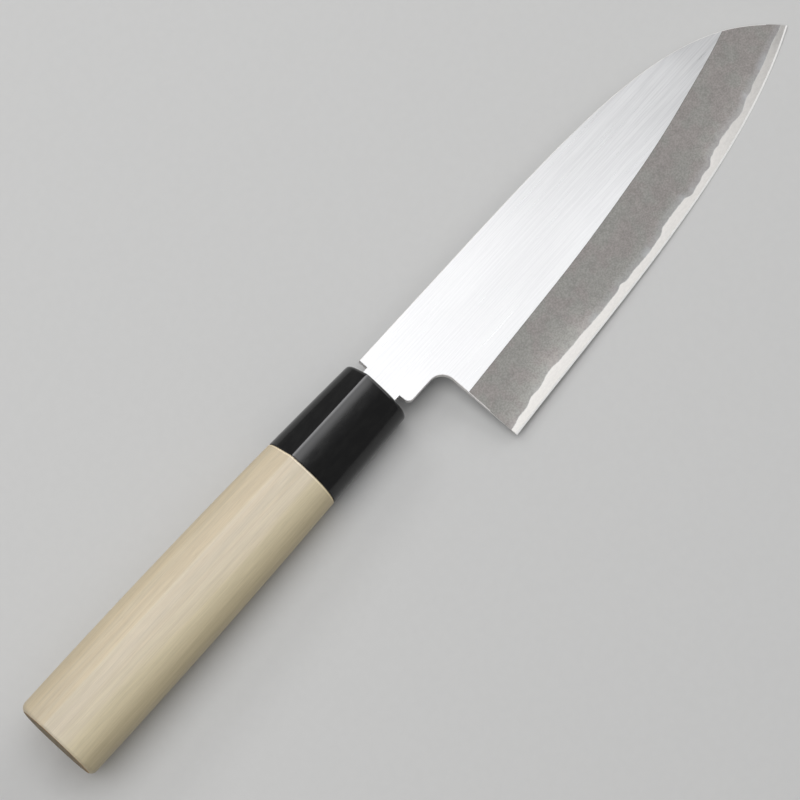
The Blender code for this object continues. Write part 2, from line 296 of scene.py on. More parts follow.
@dataclass(frozen=True)
class BrushedSteel:
    """Bright flats and spine, brushed along the blade, with painted light and shade across the middle of the
    blade and painted shade near the nose.
    """

    name: str = "brushed steel"
    bright: Colour = (0.745, 0.748, 0.757)
    dull: Colour = (0.645, 0.648, 0.659)
    relief: float = 0.0005 * MM
    roughness: Span = (0.27, 0.37)
    long_lines: Grain = Grain((0.025, 2.2, 2.2), 2)
    short_lines: Grain = Grain((0.09, 3.4, 3.4), 3, (6, 2, 0))
    clouds: Grain = Grain((0.03, 0.09, 0.09), 2, (7, 3, 0))
    line_share: Ramp = (0.38, 0.62, 0.0, 0.85)
    cloud_share: Ramp = (0.4, 0.7, 0.0, 0.2)
    middle_start: Ramp = (45.0, 80.0)
    middle_end: Ramp = (104.0, 122.0, 1.0, 0.0)
    # Painted light and shade across the middle of the blade: lighter toward the edge, darker toward the spine
    middle_painted_light: Ramp = (-14.0, 9.0, 0.065, -0.03)
    nose_start: Ramp = (128.0, 138.0)
    # Painted shade near the nose, deeper toward the spine
    nose_painted_shade: Ramp = (-4.0, 3.0, -0.04, -0.13)

    def material(self) -> Material:
        """Make the material.

        Returns:
            The material.
        """
        recipe = Recipe(self.name)
        along, across, _ = recipe.axes
        lines = (recipe.grain(self.long_lines) + recipe.grain(self.short_lines)) * 0.5
        share = lines.ranged(*self.line_share) + recipe.grain(self.clouds).ranged(*self.cloud_share)
        # Painted light and shade: the middle of the blade is lighter toward the edge and darker toward the
        # spine, and the nose is darker
        middle = along.ranged(*self.middle_start) * along.ranged(*self.middle_end)
        nose = along.ranged(*self.nose_start) * across.ranged(*self.nose_painted_shade)
        light = middle * across.ranged(*self.middle_painted_light) + nose + 1.0
        return recipe.finish(
            Base_Color=recipe.shaded(recipe.mixed(share, self.dull, self.bright), light),
            Metallic=1.0,
            Roughness=lines.swung(self.roughness),
            Normal=recipe.bump(lines, self.relief),
        )


@dataclass(frozen=True)
class EasedSteel:
    """Satin spine and eased corners, pale and mostly non-metallic so that they show a fine pale line: a
    painted highlight.
    """

    name: str = "eased steel"
    # Pale, mostly non-metallic colour: a painted highlight along the spine and eased corners
    base: Colour = (0.86, 0.84, 0.82)
    metallic: float = 0.15
    relief: float = 0.002 * MM
    roughness: Span = (0.34, 0.46)
    light: Span = (0.9, 1.06)
    lines: Grain = Grain((0.1, 2.5, 2.5), 5)

    def material(self) -> Material:
        """Make the material.

        Returns:
            The material.
        """
        recipe = Recipe(self.name)
        lines = recipe.grain(self.lines)
        return recipe.finish(
            Base_Color=recipe.shaded(self.base, lines.swung(self.light)),
            Metallic=self.metallic,
            Roughness=lines.swung(self.roughness),
            Normal=recipe.bump(lines, self.relief),
        )


@dataclass(frozen=True)
class GroundSteel:
    """Wide bevels: soft matt steel with a sandy bloom that lightens in places beside the core's line."""

    name: str = "ground steel"
    warm: Colour = (0.325, 0.305, 0.294)
    cool: Colour = (0.322, 0.317, 0.301)
    cloud: Colour = (0.50, 0.51, 0.535)
    core: Colour = (0.64, 0.635, 0.62)
    relief: float = 0.003 * MM
    roughness: Span = (0.5, 0.6)
    sand: Grain = Grain((0.5, 0.5, 0.5), 7)
    fine: Grain = Grain((2.0, 2.0, 2.0), 3, (8, 2, 0))
    hue: Grain = Grain((0.16, 0.16, 0.16), 4, (4, 9, 0))
    scratch: Grain = Grain((0.5, 2.6, 0.5), 2, (1, 5, 0))
    patches: Grain = Grain((0.11, 0.0, 0.0), 2, (2.3, 0, 0))
    ragged: Grain = Grain((1.6, 1.6, 0), 3)
    sand_light: Span = (0.92, 1.08)
    fine_light: Span = (-0.12, 0.12)
    raggedness: Span = (-0.15, 0.15)
    hue_drift: Ramp = (30.0, 150.0, 0.04, -0.05)
    patch_edge: Ramp = (0.5, 0.66)
    cloud_share: Ramp = (0.0, 1.0, 0.28, 0.62)
    cloud_fade: Ramp = (0.0, 2.8, 1.0, 0.0)
    cloud_start: Ramp = (50.0, 66.0, 0.3, 1.0)
    heel_start: Ramp = (22.0, 36.0, 0.14, 0.27)
    heel_end: Ramp = (50.0, 66.0, 1.0, 0.0)
    belly_start: Ramp = (106.0, 118.0, 0.0, 0.1)
    belly_end: Ramp = (136.0, 150.0, 1.0, 0.0)
    wide_fade: Ramp = (0.3, 9.5, 1.0, 0.0)
    nose_lift: Ramp = (138.0, 150.0, 0.1, 0.02)
    narrow_fade: Ramp = (0.3, 5.5, 1.0, 0.0)
    feather: Ramp = (0.0, 0.2, 0.4, 0.0)
    # Painted shade: a thin darker line just under the bevel's upper line
    bevel_line_shade: Ramp = (0.0, 0.3, 0.7, 1.0)

    def lift(self, along: Number, height: Number) -> Number:
        """Lightness over the core's line, which reaches farther near the heel and the belly.

        Args:
            along: Place along the knife in millimetres.
            height: Height over the core's line in millimetres.

        Returns:
            A number from 1 up.
        """
        heel = along.ranged(*self.heel_start) * along.ranged(*self.heel_end)
        belly = along.ranged(*self.belly_start) * along.ranged(*self.belly_end)
        narrow = along.ranged(*self.nose_lift) * height.ranged(*self.narrow_fade)
        return (heel + belly) * height.ranged(*self.wide_fade) + narrow + 1.0

    def material(self) -> Material:
        """Make the material.

        Returns:
            The material.
        """
        recipe = Recipe(self.name)
        along, height = recipe.axes[0], recipe.carried(OVER_CORE)
        sand, fine = recipe.grain(self.sand), recipe.grain(self.fine)
        hue = (recipe.grain(self.hue) + along.ranged(*self.hue_drift)).swung(reach=0.1)
        light = sand.swung(self.sand_light) + fine.swung(self.fine_light)
        tone = recipe.shaded(recipe.mixed(hue, self.warm, self.cool), light)
        patches = recipe.grain(self.patches).ranged(*self.patch_edge).ranged(*self.cloud_share)
        bloom = patches * height.ranged(*self.cloud_fade) * along.ranged(*self.cloud_start)
        tone = recipe.shaded(recipe.mixed(bloom, tone, self.cloud), self.lift(along, height))
        ragged = height + recipe.grain(self.ragged).swung(self.raggedness, reach=0.3)
        tone = recipe.mixed(ragged.ranged(*self.feather), tone, self.core)
        return recipe.finish(
            # Painted shade: the bevel is darkened in a thin line just under its upper line
            Base_Color=recipe.shaded(tone, recipe.carried(UNDER_BEVEL).ranged(*self.bevel_line_shade)),
            Metallic=1.0,
            Roughness=sand.swung(self.roughness, reach=0.3),
            Normal=recipe.bump(sand + recipe.grain(self.scratch), self.relief),
        )


@dataclass(frozen=True)
class CoreSteel:
    """Hard steel that shows along the edge: pale, nearly white, and softer in tone at its line, with painted
    shade that darkens it toward the tip.
    """

    name: str = "core steel"
    base: Colour = (0.79, 0.77, 0.745)
    line: Colour = (0.63, 0.63, 0.62)
    relief: float = 0.0012 * MM
    roughness: Span = (0.36, 0.44)
    fine: Grain = Grain((1.1, 2.2, 2.2), 4)
    fine_light: Span = (-0.04, 0.04)
    raggedness: Span = (-0.12, 0.12)
    feather: Ramp = (-0.22, 0.0)
    # Painted shade toward the tip, deeper over the last few millimetres
    tip_shade: Ramp = (112.0, 158.0, 1.0, 0.82)
    last_shade: Ramp = (151.0, 158.0, 0.0, -0.12)

    def material(self) -> Material:
        """Make the material.

        Returns:
            The material.
        """
        recipe = Recipe(self.name)
        along, fine = recipe.axes[0], recipe.grain(self.fine)
        ragged = recipe.carried(OVER_CORE) + fine.swung(self.raggedness, reach=0.3)
        # Painted shade: the core is darkened toward the tip and more in its last few millimetres
        to_tip = along.ranged(*self.tip_shade) + along.ranged(*self.last_shade)
        tone = recipe.shaded(self.base, fine.swung(self.fine_light, reach=0.25) + to_tip)
        return recipe.finish(
            Base_Color=recipe.mixed(ragged.ranged(*self.feather), tone, self.line),
            Metallic=1.0,
            Roughness=fine.swung(self.roughness, reach=0.3),
            Normal=recipe.bump(fine, self.relief),
        )


@dataclass(frozen=True)
class HonedSteel:
    """Narrow honed bevel at the very edge, near white and mostly non-metallic so that it shows as a bright
    line: a painted highlight.
    """

    name: str = "honed steel"
    # Near-white, mostly non-metallic colour: a painted highlight along the edge
    base: Colour = (0.95, 0.945, 0.93)
    metallic: float = 0.1
    roughness: Span = (0.40, 0.46)
    light: Span = (0.97, 1.02)
    lines: Grain = Grain((0.8, 0.4, 0.4), 3)

    def material(self) -> Material:
        """Make the material.

        Returns:
            The material.
        """
        recipe = Recipe(self.name)
        lines = recipe.grain(self.lines)
        return recipe.finish(
            Base_Color=recipe.shaded(self.base, lines.swung(self.light)),
            Metallic=self.metallic,
            Roughness=lines.swung(self.roughness),
        )


@dataclass(frozen=True)
class Magnolia:
    """Planed magnolia: cream with long warm and greenish streaks, fine fibres and short pores, with painted
    highlights, light and shade across and along it.
    """

    name: str = "magnolia"
    cream: Colour = (0.66, 0.575, 0.43)
    warm: Colour = (0.65, 0.545, 0.39)
    green: Colour = (0.61, 0.533, 0.372)
    pore: Colour = (0.44, 0.35, 0.23)
    # Painted highlight, mixed in over the ridge and the plateau
    sheen_tint: Colour = (0.69, 0.618, 0.518)
    # Painted shade, mixed in at both sides of the handle
    side_shade: Colour = (0.47, 0.38, 0.205)
    relief: float = 0.006 * MM
    roughness: Span = (0.36, 0.48)
    streaks: Grain = Grain((0.009, 0.2, 0.2), 4, (3, 0, 0), 0.3)
    bands: Grain = Grain((0.004, 0.55, 0.3), 3, (0, 5, 0))
    fibres: Grain = Grain((0.12, 3.4, 3.4), 4)
    mottle: Grain = Grain((0.03, 0.8, 0.8), 3, (2, 7, 0))
    pores: Grain = Grain((0.22, 7.0, 7.0), 1, (5, 0, 0))
    drift: Ramp = (-8.0, 8.0, 0.16, -0.16)
    green_share: Ramp = (0.42, 0.62)
    warm_share: Ramp = (0.48, 0.72, 0.0, 0.8)
    pore_share: Ramp = (0.64, 0.74, 0.0, 0.3)
    sheen_below: Ramp = (-6.2, -2.6, 0.0, 0.4)
    sheen_above: Ramp = (3.6, 4.8, 1.0, 0.0)
    side_shade_below: Ramp = (-13.0, -6.0, 0.5, 0.0)
    side_shade_above: Ramp = (7.0, 13.5, 0.0, 0.3)
    fibre_light: Span = (0.945, 1.055)
    band_light: Ramp = (0.3, 0.5, -0.04, 0.0)
    mottle_light: Span = (-0.045, 0.045)
    # Painted light and shade across the handle
    painted_light_across: tuple[Ramp, ...] = (
        (-11.0, -6.5, 0.0, 0.14), (-3.0, 1.0, 0.0, -0.055),
        (3.0, 7.0, 0.0, -0.085), (-14.0, -10.0, -0.14, 0.0),
    )
    butt_shade: Ramp = (-134.0, -95.0, -0.08, 0.0)
    butt_across: Ramp = (-1.5, 6.0, 0.15, 1.0)
    # Painted highlights at the front rim by the ferrule and at the butt's rim
    front_rim_highlight: Ramp = (-32.65, -32.5, 0.0, 0.47)
    rear_rim_highlight: Ramp = (-134.4, -134.0, 0.1, 0.0)

    def material(self) -> Material:
        """Make the material.

        Returns:
            The material.
        """
        recipe = Recipe(self.name)
        along, across, _ = recipe.axes
        bands, fibres = recipe.grain(self.bands), recipe.grain(self.fibres)
        drift = across.ranged(*self.drift)
        streaks = (recipe.grain(self.streaks) + drift).ranged(*self.green_share)
        tone = recipe.mixed(streaks, self.cream, self.green)
        tone = recipe.mixed((bands - drift).ranged(*self.warm_share), tone, self.warm)
        tone = recipe.mixed(recipe.grain(self.pores).ranged(*self.pore_share), tone, self.pore)
        # Painted highlight: a paler, less saturated band over the ridge and plateau stands in for the sheen
        # of the light on the wood
        sheen = across.ranged(*self.sheen_below) * across.ranged(*self.sheen_above)
        tone = recipe.mixed(sheen, tone, self.sheen_tint)
        # Painted shade: the handle is turned darker and browner toward the edge side and, less, toward the
        # spine side
        side_shade = across.ranged(*self.side_shade_below) + across.ranged(*self.side_shade_above)
        tone = recipe.mixed(side_shade, tone, self.side_shade)
        light = fibres.swung(self.fibre_light, reach=0.25) + bands.ranged(*self.band_light)
        light += recipe.grain(self.mottle).swung(self.mottle_light)
        # Painted light and shade across the handle: lighter over the middle of its width, a little darker
        # toward the spine, and much darker at the edge side
        for ramp in self.painted_light_across:
            light += across.ranged(*ramp)
        light += along.ranged(*self.butt_shade) * across.ranged(*self.butt_across)
        # Painted highlights: a thin pale line at the wood's front rim and a fainter one at the butt's rim
        light += along.ranged(*self.front_rim_highlight)
        light += along.ranged(*self.rear_rim_highlight)
        return recipe.finish(
            Base_Color=recipe.shaded(tone, light),
            Roughness=fibres.swung(self.roughness, reach=0.3),
            Normal=recipe.bump(fibres, self.relief),
        )


@dataclass(frozen=True)
class EndGrain:
    """Sawn end of the same wood, showing its year rings. It is darker than the sides partly as end grain is
    and partly as painted shade, and an orange-brown band toward its rim is painted light on the rounded rim.
    """

    name: str = "magnolia end grain"
    # Dark end colours: partly the end grain's own tone, partly painted shade
    pale: Colour = (0.25, 0.2, 0.125)
    ring: Colour = (0.185, 0.14, 0.085)
    # Painted light on the rounded rim of the end
    rim: Colour = (0.5, 0.27, 0.1)
    relief: float = 0.02 * MM
    roughness: float = 0.7
    specular: float = 0.3
    rings: Grain = Grain((0.0, 0.55, 0.3), 3, (0, 5, 0))
    specks: Grain = Grain((4.0, 4.0, 4.0), 3)
    speck_light: Span = (0.85, 1.12)
    half_height: float = 13.7
    half_thickness: float = 9.8
    rim_highlight_share: Ramp = (0.72, 0.86, 0.0, 0.9)

    def material(self) -> Material:
        """Make the material.

        Returns:
            The material.
        """
        recipe = Recipe(self.name)
        _, across, out = recipe.axes
        specks = recipe.grain(self.specks)
        tone = recipe.mixed(recipe.grain(self.rings).swung(reach=0.15), self.pale, self.ring)
        high, deep = across * (1 / self.half_height), out * (1 / self.half_thickness)
        # Painted light: an orange-brown band toward the rim of the end
        tone = recipe.mixed((high * high + deep * deep).ranged(*self.rim_highlight_share), tone, self.rim)
        return recipe.finish(
            Base_Color=recipe.shaded(tone, specks.swung(self.speck_light)),
            Roughness=self.roughness,
            Specular_IOR_Level=self.specular,
            Normal=recipe.bump(specks, self.relief),
        )


@dataclass(frozen=True)
class BlackPlastic:
    """Glossy moulded plastic with the faint unevenness of its moulding, and a pale grey stripe beside its
    ridge that is a painted highlight.
    """

    name: str = "black plastic"
    base: Colour = (0.002, 0.002, 0.0022)
    hazy: Colour = (0.005, 0.005, 0.0048)
    # Pale grey of the painted highlight beside the ridge
    painted_glint: Colour = (0.205, 0.205, 0.21)
    relief: float = 0.0004 * MM
    roughness: Span = (0.13, 0.18)
    refraction: float = 1.5
    haze: Grain = Grain((0.25, 0.6, 0.6), 4)
    fine: Grain = Grain((1.5, 6.0, 6.0), 2)
    haze_share: Ramp = (0.4, 0.7)
    ridge: float = 4.05
    # Where the painted highlight beside the ridge starts and ends
    glint_sides: tuple[Ramp, ...] = ((-3.4, -1.3, 0.0, 0.26), (-7.5, -3.0, 0.0, 0.05), (-0.8, 0.0, 0.0, 0.7))
    past_ridge: Ramp = (0.04, 0.18, 1.0, 0.0)
    right_side: Ramp = (6.0, 7.0)

    def material(self) -> Material:
        """Make the material.

        Returns:
            The material.
        """
        recipe = Recipe(self.name)
        _, across, out = recipe.axes
        haze = recipe.grain(self.haze)
        past = across - self.ridge
        near, far, top = (past.ranged(*ramp) for ramp in self.glint_sides)
        # Painted highlight: a pale grey stripe on the plateau side of the ridge, brightest at the ridge, on
        # the right face only
        glint_share = (near + far + top) * past.ranged(*self.past_ridge) * out.ranged(*self.right_side)
        tone = recipe.mixed(haze.ranged(*self.haze_share), self.base, self.hazy)
        return recipe.finish(
            Base_Color=recipe.mixed(glint_share, tone, self.painted_glint),
            Roughness=haze.swung(self.roughness),
            IOR=self.refraction,
            Normal=recipe.bump(recipe.grain(self.fine), self.relief),
        )


@dataclass(frozen=True)
class DarkResin:
    """Dark resin that seals the tang, a little dusty."""

    name: str = "dark resin"
    base: Colour = (0.018, 0.017, 0.016)
    dusty: Colour = (0.05, 0.047, 0.042)
    relief: float = 0.01 * MM
    roughness: Span = (0.3, 0.5)
    dust: Grain = Grain((2.0, 2.0, 2.0), 4)
    dust_share: Ramp = (0.45, 0.75)

    def material(self) -> Material:
        """Make the material.

        Returns:
            The material.
        """
        recipe = Recipe(self.name)
        dust = recipe.grain(self.dust)
        return recipe.finish(
            Base_Color=recipe.mixed(dust.ranged(*self.dust_share), self.base, self.dusty),
            Roughness=dust.swung(self.roughness),
            Normal=recipe.bump(dust, self.relief),
        )


@dataclass(frozen=True)
class PaleFloor:
    """Matt pale floor with a faint tooth."""

    name: str = "pale floor"
    base: Colour = (0.62, 0.62, 0.616)
    roughness: float = 0.9
    specular: float = 0.2
    tooth: Grain = Grain((0.4, 0.4, 0.4), 4)
    tooth_light: Span = (0.992, 1.004)

    def material(self) -> Material:
        """Make the material.

        Returns:
            The material.
        """
        recipe = Recipe(self.name)
        tone = recipe.shaded(self.base, recipe.grain(self.tooth).swung(self.tooth_light))
        return recipe.finish(Base_Color=tone, Roughness=self.roughness, Specular_IOR_Level=self.specular)


def shaded_round(shape: BMesh, crease: float, is_line: Callable[[BMEdge], bool] | None = None) -> None:
    """Shade a shape smooth with crisp edges.

    Args:
        shape: The shape.
        crease: Angle in radians above which an edge stays crisp.
        is_line: Says whether an edge stays crisp whatever its angle.
    """
    for face in shape.faces:
        face.smooth = True
    for edge in shape.edges:
        line = is_line is not None and is_line(edge)
        edge.smooth = not line and edge.calc_face_angle(0.0) < crease


def rounded(shape: BMesh, edges: list[BMEdge], width: float, segments: int) -> None:
    """Round some edges of a shape.

    Args:
        shape: The shape.
        edges: The edges.
        width: Width taken off to each side of an edge.
        segments: Facets of the rounding.
    """
    bmesh.ops.bevel(
        shape, geom=edges, offset=width, offset_type="OFFSET", segments=segments, profile=0.5,
        affect="EDGES", clamp_overlap=False, material=-1,
    )


def as_mesh(name: str, shape: BMesh) -> Mesh:
    """Turn a shape into a mesh.

    Args:
        name: Mesh's name.
        shape: The shape, which is used up.

    Returns:
        The mesh.
    """
    mesh = bpy.data.meshes.new(name)
    shape.to_mesh(mesh)
    shape.free()
    return mesh


def as_shape(mesh: Mesh) -> BMesh:
    """Turn a mesh into a shape.

    Args:
        mesh: The mesh.

    Returns:
        The shape.
    """
    shape = bmesh.new()
    shape.from_mesh(mesh)
    return shape


def welded(shape: BMesh) -> None:
    """Merge a shape's doubled points, drop what that leaves without area, and turn its faces outward.

    Args:
        shape: The shape.
    """
    bmesh.ops.remove_doubles(shape, verts=shape.verts, dist=WELD)
    bmesh.ops.dissolve_degenerate(shape, edges=shape.edges, dist=SLIVER)
    bmesh.ops.recalc_face_normals(shape, faces=shape.faces)


def cut_away(shape: BMesh, cutters: list[BMesh]) -> BMesh:
    """Cut other shapes out of a shape.

    Args:
        shape: The shape, which is used up.
        cutters: What is cut out of it, used up too.

    Returns:
        What is left.
    """
    body = bpy.data.objects.new("cut body", as_mesh("cut body", shape))
    tools = [bpy.data.objects.new("cutter", as_mesh("cutter", cutter)) for cutter in cutters]
    for item in [body, *tools]:
        bpy.context.scene.collection.objects.link(item)
    for tool in tools:
        modifier = body.modifiers.new("cut", "BOOLEAN")
        modifier.object, modifier.operation, modifier.solver = tool, "DIFFERENCE", "EXACT"
    depsgraph = bpy.context.evaluated_depsgraph_get()
    result = as_shape(bpy.data.meshes.new_from_object(body.evaluated_get(depsgraph), depsgraph=depsgraph))
    for item in [body, *tools]:
        bpy.data.objects.remove(item)
    return result


def block(low: Triple, high: Triple) -> BMesh:
    """Box between two corners.

    Args:
        low: Lowest corner.
        high: Highest corner.

    Returns:
        The box.
    """
    shape = bmesh.new()
    size, middle = Vector(high) - Vector(low), (Vector(high) + Vector(low)) / 2
    bmesh.ops.create_cube(shape, size=1.0, matrix=Matrix.LocRotScale(middle, None, size))
    return shape


def prism(outline: list[Vector], half: float) -> BMesh:
    """Slab with its outline in the blade's plane.

    Args:
        outline: Corners in order.
        half: Half thickness.

    Returns:
        The slab.
    """
    shape = bmesh.new()
    corners = [shape.verts.new((point.x, point.y, -half)) for point in outline]
    base = bmesh.ops.contextual_create(shape, geom=corners)["faces"]
    raised = bmesh.ops.extrude_face_region(shape, geom=base, use_keep_orig=True)["geom"]
    lifted = [item for item in raised if isinstance(item, BMVert)]
    bmesh.ops.translate(shape, vec=(0, 0, 2 * half), verts=lifted)
    bmesh.ops.recalc_face_normals(shape, faces=shape.faces)
    return shape


def piece(name: str, shape: BMesh, materials: list[Material], node: str) -> Object:
    """Lay a finished shape down as the CAD lies, in place of one of its nodes.

    Args:
        name: Piece's name.
        shape: Its shape in the knife's frame, which is used up.
        materials: Materials in the order of the faces' numbers.
        node: CAD node that the piece stands for.

    Returns:
        The piece.
    """
    mesh = as_mesh(name, shape)
    mesh.transform(REST.matrix())
    for material in materials:
        mesh.materials.append(material)
    made = bpy.data.objects.new(name, mesh)
    bpy.context.scene.collection.objects.link(made)
    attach(made, BODY)
    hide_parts(node)
    log.info("%s stands for %s, %d faces", name, node, len(mesh.polygons))
    return made


@dataclass(frozen=True)
class Curve:
    """Cubic curve in the blade's plane, whose X only grows."""

    start: Vector
    lead: Vector
    trail: Vector
    end: Vector

    def at(self, share: float) -> Vector:
        """Point of the curve.

        Args:
            share: Share of the curve, from 0 to 1.

        Returns:
            The point.
        """
        rest = 1 - share
        near = self.start * rest + self.lead * (3 * share)
        far = self.trail * (3 * rest) + self.end * share
        return near * rest * rest + far * share * share

    def ahead(self, share: float) -> Vector:
        """Direction of the curve.

        Args:
            share: Share of the curve, from 0 to 1.

        Returns:
            A unit vector.
        """
        rest = 1 - share
        first, middle, last = self.lead - self.start, self.trail - self.lead, self.end - self.trail
        return (first * rest * rest + middle * (2 * rest * share) + last * share * share).normalized()

    def share_where(self, passed: Callable[[float], bool]) -> float:
        """Share of the curve at which a condition first fails.

        Args:
            passed: Condition on a share, which holds up to one place and not past it.

        Returns:
            The share.
        """
        low, high = 0.0, 1.0
        for _ in range(HALVINGS):
            middle = (low + high) / 2
            low, high = (middle, high) if passed(middle) else (low, middle)
        return (low + high) / 2

    def across(self, along: float) -> float:
        """Y of the curve at a place along the knife."""
        return self.at(self.share_where(lambda share: self.at(share).x < along)).y


class Row(IntEnum):
    """Rows of points on the blade's face, from the spine to the edge."""

    SPINE = 0
    TANG_TOP = 1
    TANG_BOTTOM = 2
    NECK = 3
    BEVEL = 4
    UPPER = 5
    MIDDLE = 6
    LOWER = 7
    CORE = 8
    PALE = 9
    HONE = 10
    EDGE = 11


class Side(IntEnum):
    """Sides of the blade, as the sign of Z."""

    RIGHT = 1
    LEFT = -1


@dataclass
class Blade:
    """Laminated blade: a hard core between two soft claddings, ground to wide bevels and honed."""

    shoulder: float = 3.0 * MM
    length: float = 158.5 * MM
    spine_height: float = 9.4 * MM
    spine_straight: float = 42.0 * MM
    spine_lead: float = 65.7 * MM
    nose_lead: float = 30.5 * MM
    nose_angle: float = math.radians(53.0)
    tip_drop: float = 16.3 * MM
    heel_back: float = 13.75 * MM
    heel_drop: float = 37.65 * MM
    heel_radius: float = 4.6 * MM
    neck_drop: float = 9.2 * MM
    neck_radius: float = 1.8 * MM
    edge_lead: float = 52.3 * MM
    edge_rise: float = math.radians(4.3)
    belly_lead: float = 42.5 * MM
    belly_angle: float = math.radians(23.7)
    neck_thickness: float = 2.6 * MM
    thinning_to_tip: float = math.radians(0.09)
    thinning_to_edge: float = math.radians(0.52)
    bevel_land: float = 0.24 * MM
    hone_angle: float = math.radians(14.0)
    hone_land: float = 0.03 * MM
    tang_length: float = 95.0 * MM
    tang_top: float = 6.4 * MM
    tang_bottom: float = 5.6 * MM
    tang_end_top: float = 3.4 * MM
    tang_end_bottom: float = 2.6 * MM
    tang_corner: float = 1.2 * MM
    eased_edge: float = 0.18 * MM
    eased_limit: float = 0.2 * MM
    eased_angle: float = math.radians(60)
    eased_segments: int = 2
    crease: float = math.radians(20)
    face_lean: float = 0.95
    column_step: float = 0.3 * MM
    neck_step: float = 1.5 * MM
    tang_step: float = 8.0 * MM
    least_row: float = 0.3 * MM
    arc_steps: int = 14
    line_steps: int = 400
    ripple: float = 0.09 * MM
    ripple_pace: float = 0.9
    fine_ripple: float = 0.6
    fine_pace: float = 2.1
    fine_shift: float = 5.0
    far_over_core: float = 50.0
    bevel_widths: Knots = ((17, 18.1), (45, 17.95), (62, 17.92), (100, 18.33), (126, 18.48), (176, 16.35))
    core_line: Knots = (
        (17, 2.26), (18.5, 2.27), (21, 2.81), (24, 2.65), (28, 3.48), (31, 3.23), (37, 4.1), (42, 3.58),
        (48, 3.35), (51.5, 3.35), (55, 3.03), (61, 2.84), (67.5, 2.83), (69.5, 3.32), (72, 2.67), (76, 2.79),
        (78, 2.57), (82, 2.38), (88, 2.55), (91, 3.52), (95.5, 3.52), (101, 3.27), (104, 2.06), (106.5, 2.33),
        (108, 2.27), (110.5, 2.66), (113.5, 2.25), (116, 3.41), (118.5, 3.77), (120, 3.47), (122, 3.79),
        (127, 3.31), (132, 2.4), (137, 3.11), (138.5, 2.84), (141, 3.16), (149, 2.87), (153.5, 2.87),
        (160, 2.1),
    )

    def __post_init__(self) -> None:
        """Work out the curves and lines that the pieces share."""
        self.heel = self.shoulder + self.heel_back
        self.tip = tip = Vector((self.shoulder + self.length, -self.tip_drop))
        heel = Vector((self.heel, -self.heel_drop))
        crest = Vector((self.shoulder + self.spine_straight, self.spine_height))
        nose = tip - self.nose_lead * self.towards(-self.nose_angle)
        belly = tip - self.belly_lead * self.towards(self.belly_angle)
        self.spine = Curve(crest, crest + self.spine_lead * self.towards(0), nose, tip)
        self.edge = Curve(heel, heel + self.edge_lead * self.towards(self.edge_rise), belly, tip)
        self.bevel_line = self.offset_line(lambda share: self.bevel(share)[0])
        self.hone_line = self.offset_line(self.hone)

    @staticmethod
    def towards(angle: float) -> Vector:
        """Unit vector at an angle from the tip's direction."""
        return Vector((math.cos(angle), math.sin(angle)))

    def inward(self, share: float) -> Vector:
        """Direction from the edge into the blade, square to the edge."""
        ahead = self.edge.ahead(share)
        return Vector((-ahead.y, ahead.x))

    def offset_line(self, reach: Callable[[float], float]) -> np.ndarray:
        """Points of a line that runs beside the edge at a distance from it."""
        shares = [index / self.line_steps for index in range(self.line_steps + 1)]
        return np.array([self.edge.at(share) + reach(share) * self.inward(share) for share in shares])

    def face(self, place: Vector) -> float:
        """Half thickness of the blade before its bevels are ground.

        Args:
            place: Place in the blade's plane.

        Returns:
            The half thickness.
        """
        to_tip = math.tan(self.thinning_to_tip) * (place.x - self.shoulder)
        to_edge = math.tan(self.thinning_to_edge) * (self.spine_height - place.y)
        return self.neck_thickness / 2 - to_tip - to_edge

    def bevel(self, share: float) -> tuple[float, float]:
        """Width and slope of the wide bevels.

        Args:
            share: Share of the edge.

        Returns:
            The width, and the rise over a length of it.
        """
        foot = self.edge.at(share)
        width = eased(self.bevel_widths, foot.x)
        return width, (self.face(foot + width * self.inward(share)) - self.bevel_land / 2) / width

    def hone(self, share: float) -> float:
        """Width of the honed bevels at a share of the edge."""
        return (self.bevel_land - self.hone_land) / 2 / (math.tan(self.hone_angle) - self.bevel(share)[1])

    def surface(self, place: Vector) -> float:
        """Half thickness of the finished blade.

        Args:
            place: Place in the blade's plane.

        Returns:
            The half thickness.
        """
        edge = self.edge
        share = edge.share_where(lambda part: (place - edge.at(part)).dot(edge.ahead(part)) > 0)
        reach = (place - edge.at(share)).dot(self.inward(share))
        width, slope = self.bevel(share)
        if place.x < self.heel or reach >= width:
            return self.face(place)
        ground = self.bevel_land / 2 + reach * slope
        return min(ground, self.hone_land / 2 + max(reach, 0) * math.tan(self.hone_angle))

    def core_height(self, along: float) -> float:
        """Height of the core's line over the edge, with the small ripple of a hand-forged weld.

        Args:
            along: Place along the knife.

        Returns:
            The height.
        """
        place = along / MM
        fine = noise.noise(Vector((place * self.fine_pace, self.fine_shift, 0)))
        ripple = noise.noise(Vector((place * self.ripple_pace, 0, 0))) + self.fine_ripple * fine
        return eased(self.core_line, along) + self.ripple * ripple

    def spine_at(self, along: float) -> float:
        """Y of the spine."""
        return self.spine_height if along <= self.spine.start.x else self.spine.across(along)

    def neck_at(self, along: float) -> float:
        """Y of the neck's lower side, with its round shoulder and the hollow before the heel.

        Args:
            along: Place along the knife.

        Returns:
            The Y.
        """
        corner, hollow = self.shoulder + self.neck_radius, self.heel - self.heel_radius
        if along < corner:
            rise = math.sqrt(max(0.0, self.neck_radius**2 - (corner - along) ** 2))
            return self.neck_radius - self.neck_drop - rise
        rise = math.sqrt(max(0.0, self.heel_radius**2 - max(0.0, along - hollow) ** 2))
        return rise - self.neck_drop - self.heel_radius

